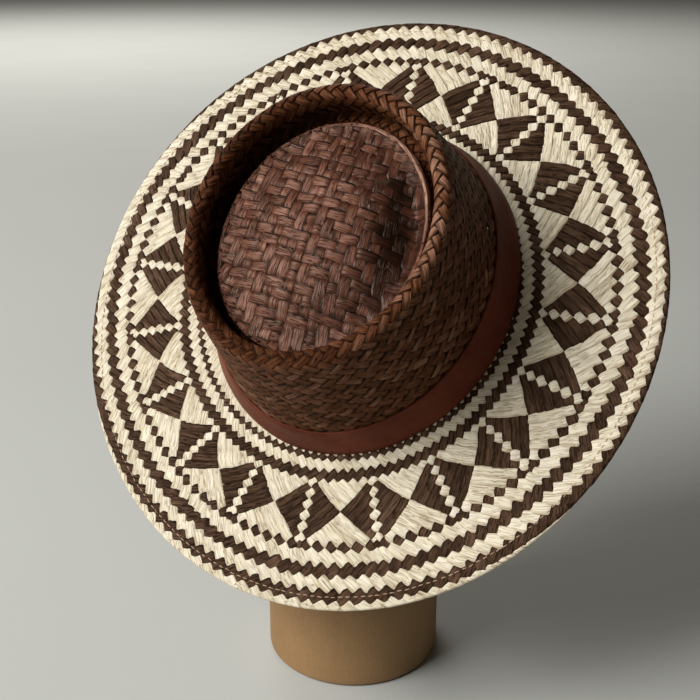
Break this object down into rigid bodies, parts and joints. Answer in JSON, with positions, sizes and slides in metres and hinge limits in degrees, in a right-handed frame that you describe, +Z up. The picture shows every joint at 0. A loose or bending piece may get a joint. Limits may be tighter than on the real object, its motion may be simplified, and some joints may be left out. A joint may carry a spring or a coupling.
{
  "type": "straw hat on a plain stand",
  "caption": "Woven straw hat with a dented flat crown, a wide patterned brim and a smooth band, hung tilted over a plain round stand.",
  "frame": {"origin": "centre of the stand's flat foot, on the surface that it stands on", "axes": "+Z up along the stand, +Y away from the viewer of the picture, +X to that viewer's right"},
  "size_m": [0.3301, 0.2348, 0.3778],
  "materials": {
    "crown_straw": "woven dark brown straw",
    "brim_straw": "woven cream and dark brown straw",
    "band_leather": "smooth reddish brown",
    "stand_paper": "smooth matt tan paper over wood"
  },
  "bodies": {
    "root": {"crown": "crown_straw", "brim": "brim_straw", "hat_band": "band_leather", "stand": "stand_paper"}
  },
  "joints": []
}
